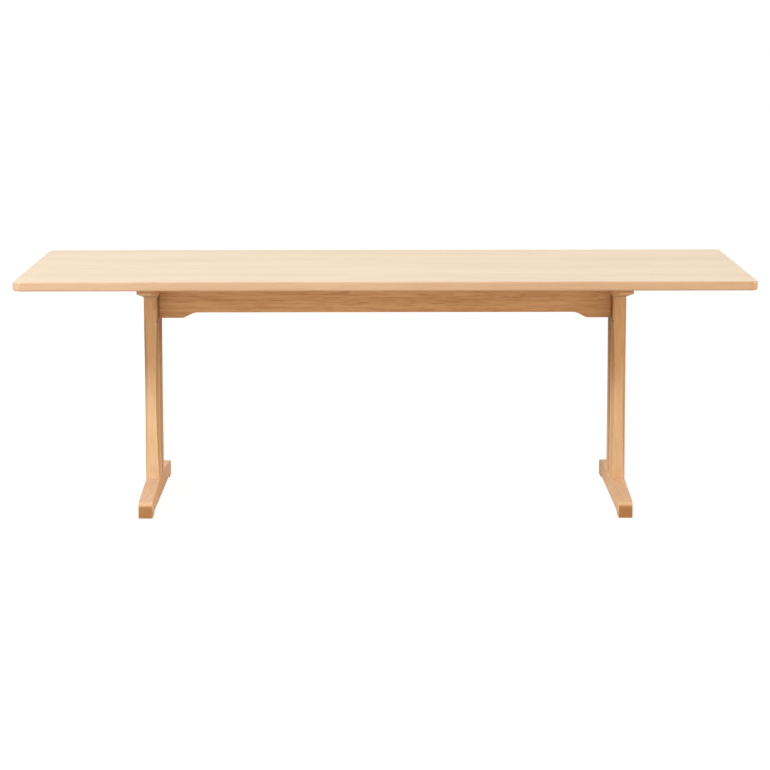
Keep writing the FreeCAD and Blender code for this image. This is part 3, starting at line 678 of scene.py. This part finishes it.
def make_machined_steel():
    """Fine turning marks, dull spots of oxide and light handling scratches in plated steel."""
    tree, given, result = new_effect(
        "machined_steel",
        [
            ("Place", "Vector", (0, 0, 0)),
            ("Bright", "Color", (0.66, 0.66, 0.65, 1)),
            ("Dull", "Color", (0.42, 0.41, 0.38, 1)),
        ],
        [("Colour", "Color"), ("Roughness", "Float"), ("Height", "Float")],
    )
    place = given["Place"]
    spots_of_oxide = slide(tree, mottle(tree, place, 0.0032, 3.0), 0.48, 0.72)
    grain = mottle(tree, place, (0.0002, 0.0018, 0.0018), 2.0)
    scratch = slide(tree, mottle(tree, place, (0.0060, 0.0003, 0.0003), 2.0), 0.60, 0.70)
    share = sum_up(tree, "MULTIPLY_ADD", spots_of_oxide, 0.55, sum_up(tree, "MULTIPLY", grain, 0.3))
    tree.links.new(tint(tree, share, given["Bright"], given["Dull"]), result["Colour"])
    rough = sum_up(tree, "MULTIPLY_ADD", spots_of_oxide, 0.22, 0.24)
    tree.links.new(sum_up(tree, "MULTIPLY_ADD", grain, 0.14, rough), result["Roughness"])
    tree.links.new(sum_up(tree, "MULTIPLY_ADD", scratch, -0.7, grain), result["Height"])
    return tree


machined_steel = make_machined_steel()


def steel_finish(name, bright, dull):
    material = bpy.data.materials.new(name)
    material.use_nodes = True
    tree = material.node_tree
    steel = tree.nodes.new("ShaderNodeGroup")
    steel.node_tree = machined_steel
    tree.links.new(tree.nodes.new("ShaderNodeTexCoord").outputs["Object"], steel.inputs["Place"])
    steel.inputs["Bright"].default_value = (*bright, 1)
    steel.inputs["Dull"].default_value = (*dull, 1)
    shader = tree.nodes["Principled BSDF"]
    shader.inputs["Metallic"].default_value = 1.0
    tree.links.new(steel.outputs["Colour"], shader.inputs["Base Color"])
    tree.links.new(steel.outputs["Roughness"], shader.inputs["Roughness"])
    bump = tree.nodes.new("ShaderNodeBump")
    bump.inputs["Strength"].default_value = 0.3
    bump.inputs["Distance"].default_value = 0.00004
    tree.links.new(steel.outputs["Height"], bump.inputs["Height"])
    tree.links.new(bump.outputs["Normal"], shader.inputs["Normal"])
    return material


def thread(radius, start, stop, pitch):
    """Ridges of a screw thread between two heights, as points of a turned profile."""
    points = []
    height = start
    while height + pitch <= stop:
        points.append((radius, height, "round"))
        points.append((radius * 0.86, height + pitch / 2, "round"))
        height += pitch
    return points


bolt_low, bolt_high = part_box("rail_bolts")
bolt_head, bolt_head_tall, bolt_shank, bolt_long = 0.0065, 0.008, 0.004, 0.098
bolt_face = bolt_high[0]
bolt_places = [
    (side * (bolt_face - bolt_head_tall), 0, height)
    for side in (-1, 1)
    for height in (bolt_low[2] + bolt_head, bolt_high[2] - bolt_head)
]
inwards = [(-1 if place[0] > 0 else 1, 0, 0) for place in bolt_places]
rail_bolts = turned_piece(
    "socket_cap_bolts",
    bolt_places,
    inwards,
    [
        (0, -bolt_head_tall + 0.0042, "round"),
        (0.0029, -bolt_head_tall + 0.0042, "hexagon"),
        (0.0029, -bolt_head_tall + 0.0003, "hexagon"),
        (0.0038, -bolt_head_tall, "round"),
        (0.0056, -bolt_head_tall, "round"),
        (bolt_head - 0.0002, -bolt_head_tall + 0.0009, "round"),
        (bolt_head, -bolt_head_tall + 0.0012, "ridged"),
        (bolt_head, -0.0006, "ridged"),
        (bolt_head - 0.0004, 0, "round"),
        (bolt_shank + 0.0004, 0, "round"),
        (bolt_shank, 0.0006, "round"),
        *thread(bolt_shank, bolt_long - 0.026, bolt_long - 0.001, 0.00125),
        (bolt_shank * 0.8, bolt_long, "round"),
        (0, bolt_long, "round"),
    ],
    48,
)
bolt_steel = steel_finish("bolt_plating", (0.67, 0.67, 0.66), (0.45, 0.44, 0.41))
stand_for(rail_bolts, "rail_bolts", bolt_steel)


def washer_profile(inner, outer, thick):
    soft = thick * 0.25
    return [
        (inner, 0, "round"),
        (outer - soft, 0, "round"),
        (outer, soft, "round"),
        (outer, thick - soft, "round"),
        (outer - soft, thick, "round"),
        (inner + soft, thick, "round"),
        (inner, thick - soft, "round"),
    ]


washer_thick = 0.0016
rail_washers = turned_piece(
    "rail_bolt_plain_washers",
    bolt_places,
    inwards,
    washer_profile(0.0044, 0.009, washer_thick),
    36,
    hollow=True,
)
washer_steel = steel_finish("washer_plating", (0.62, 0.62, 0.61), (0.40, 0.39, 0.36))
stand_for(rail_washers, "rail_bolt_washers", washer_steel)
finish_node("barrel_nuts", steel_finish("nut_plating", (0.58, 0.58, 0.57), (0.36, 0.35, 0.33)))


# Bearer screws and washers
# Round-headed plated wood screws with a hexagon socket, up through wells in each bearer into
# the top. A washer lets the top swell and shrink with the seasons.

screw_head, screw_head_tall, screw_shank = 0.005, 0.0035, 0.0025


def screw_profile(long):
    return [
        (0, -screw_head_tall + 0.0018, "round"),
        (0.0015, -screw_head_tall + 0.0018, "hexagon"),
        (0.0015, -screw_head_tall + 0.0001, "hexagon"),
        (0.0024, -screw_head_tall, "round"),
        (0.0032, -screw_head_tall + 0.0003, "round"),
        (0.0041, -screw_head_tall + 0.0010, "round"),
        (0.0047, -screw_head_tall + 0.0019, "round"),
        (screw_head, -0.0004, "round"),
        (screw_head - 0.0003, 0, "round"),
        (screw_shank, 0, "round"),
        *thread(screw_shank, long * 0.45, long - 0.003, 0.0016),
        (screw_shank * 0.35, long - 0.0006, "round"),
        (0, long, "round"),
    ]


screws_low, screws_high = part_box("bearer_screws")
under_head = screws_low[2] + screw_head_tall
screw_rows = (-0.300, -0.168, 0.168, 0.300)
screw_places = [
    (side * (screws_high[0] - screw_head), y, under_head)
    for side in (-1, 1)
    for y in screw_rows
]
bearer_screws = turned_piece(
    "round_head_screws", screw_places, (0, 0, 1), screw_profile(screws_high[2] - under_head), 24
)
screw_steel = steel_finish("screw_plating", (0.66, 0.65, 0.62), (0.44, 0.42, 0.37))
stand_for(bearer_screws, "bearer_screws", screw_steel)
bearer_washers = turned_piece(
    "bearer_plain_washers",
    screw_places,
    (0, 0, 1),
    washer_profile(0.0027, 0.007, washer_thick),
    32,
    hollow=True,
)
stand_for(bearer_washers, "bearer_screw_washers", washer_steel)


# Buttons and their screws
# Four turn-buttons of beech, each screwed up against the underside of the top with its tongue
# in a slot of the rail, so that the top is held down but can still move.

button_colours = ((0.76, 0.48, 0.26), (0.56, 0.29, 0.13), (0.46, 0.23, 0.10))
button_wood = wood_finish(
    "button_beech", "Y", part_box("top_buttons"), (0.20, 0.03), (0.0, 0.01), 0.0019,
    button_colours, 0.7, coat=0.05,
)
finish_node("top_buttons", button_wood)
button_low, button_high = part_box("top_button_screws")
button_screws = turned_piece(
    "button_round_head_screws",
    [
        (x, y, button_low[2] + screw_head_tall)
        for x in (button_low[0] + screw_head, button_high[0] - screw_head)
        for y in (button_low[1] + screw_head, button_high[1] - screw_head)
    ],
    (0, 0, 1),
    screw_profile(button_high[2] - button_low[2] - screw_head_tall),
    24,
)
stand_for(button_screws, "top_button_screws", screw_steel)


# Glides
# A turned nylon disc with a rounded rim, let into the underside of each end of both feet. It
# keeps the end pads just clear of the floor, and its face is scratched by dragging.


def make_scuffed_nylon():
    tree, given, result = new_effect(
        "scuffed_nylon",
        [("Place", "Vector", (0, 0, 0)), ("Clean", "Color", (0.7, 0.69, 0.65, 1))],
        [("Colour", "Color"), ("Roughness", "Float"), ("Height", "Float")],
    )
    place = given["Place"]
    height = tree.nodes.new("ShaderNodeSeparateXYZ")
    tree.links.new(place, height.inputs[0])
    low_down = slide(tree, height.outputs["Z"], 0.0, 0.0014, 1.0, 0.15)
    drag = slide(tree, mottle(tree, place, (0.009, 0.0007, 0.0007), 3.0), 0.45, 0.62)
    dirt = slide(tree, mottle(tree, place, 0.0035, 3.0), 0.40, 0.68)
    marks = sum_up(tree, "MULTIPLY", low_down, sum_up(tree, "MAXIMUM", drag, dirt))
    soiled = tint(tree, 1.0, given["Clean"], (0.52, 0.48, 0.42, 1), "MULTIPLY")
    share = sum_up(tree, "MULTIPLY", marks, 0.7)
    tree.links.new(tint(tree, share, given["Clean"], soiled), result["Colour"])
    tree.links.new(sum_up(tree, "MULTIPLY_ADD", marks, 0.25, 0.38), result["Roughness"])
    tree.links.new(sum_up(tree, "MULTIPLY", drag, low_down), result["Height"])
    return tree


glide_nylon = bpy.data.materials.new("glide_nylon")
glide_nylon.use_nodes = True
glide_tree = glide_nylon.node_tree
scuffed = glide_tree.nodes.new("ShaderNodeGroup")
scuffed.node_tree = make_scuffed_nylon()
glide_place = glide_tree.nodes.new("ShaderNodeTexCoord").outputs["Object"]
glide_tree.links.new(glide_place, scuffed.inputs["Place"])
glide_shader = glide_tree.nodes["Principled BSDF"]
glide_tree.links.new(scuffed.outputs["Colour"], glide_shader.inputs["Base Color"])
glide_tree.links.new(scuffed.outputs["Roughness"], glide_shader.inputs["Roughness"])
glide_bump = glide_tree.nodes.new("ShaderNodeBump")
glide_bump.inputs["Strength"].default_value = 0.3
glide_bump.inputs["Distance"].default_value = 0.00005
glide_tree.links.new(scuffed.outputs["Height"], glide_bump.inputs["Height"])
glide_tree.links.new(glide_bump.outputs["Normal"], glide_shader.inputs["Normal"])

glide_low, glide_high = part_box("foot_glides")
glide_radius = 0.011
glide_tall = glide_high[2] - glide_low[2]
glides = turned_piece(
    "foot_glide_discs",
    [
        (x, y, glide_low[2])
        for x in (glide_low[0] + glide_radius, glide_high[0] - glide_radius)
        for y in (glide_low[1] + glide_radius, glide_high[1] - glide_radius)
    ],
    (0, 0, 1),
    [
        (0, 0, "round"),
        (glide_radius * 0.80, 0, "round"),
        (glide_radius * 0.92, 0.00015, "round"),
        (glide_radius * 0.98, 0.0006, "round"),
        (glide_radius, 0.0012, "round"),
        (glide_radius, glide_tall, "round"),
        (0, glide_tall, "round"),
    ],
    48,
)
stand_for(glides, "foot_glides", glide_nylon)
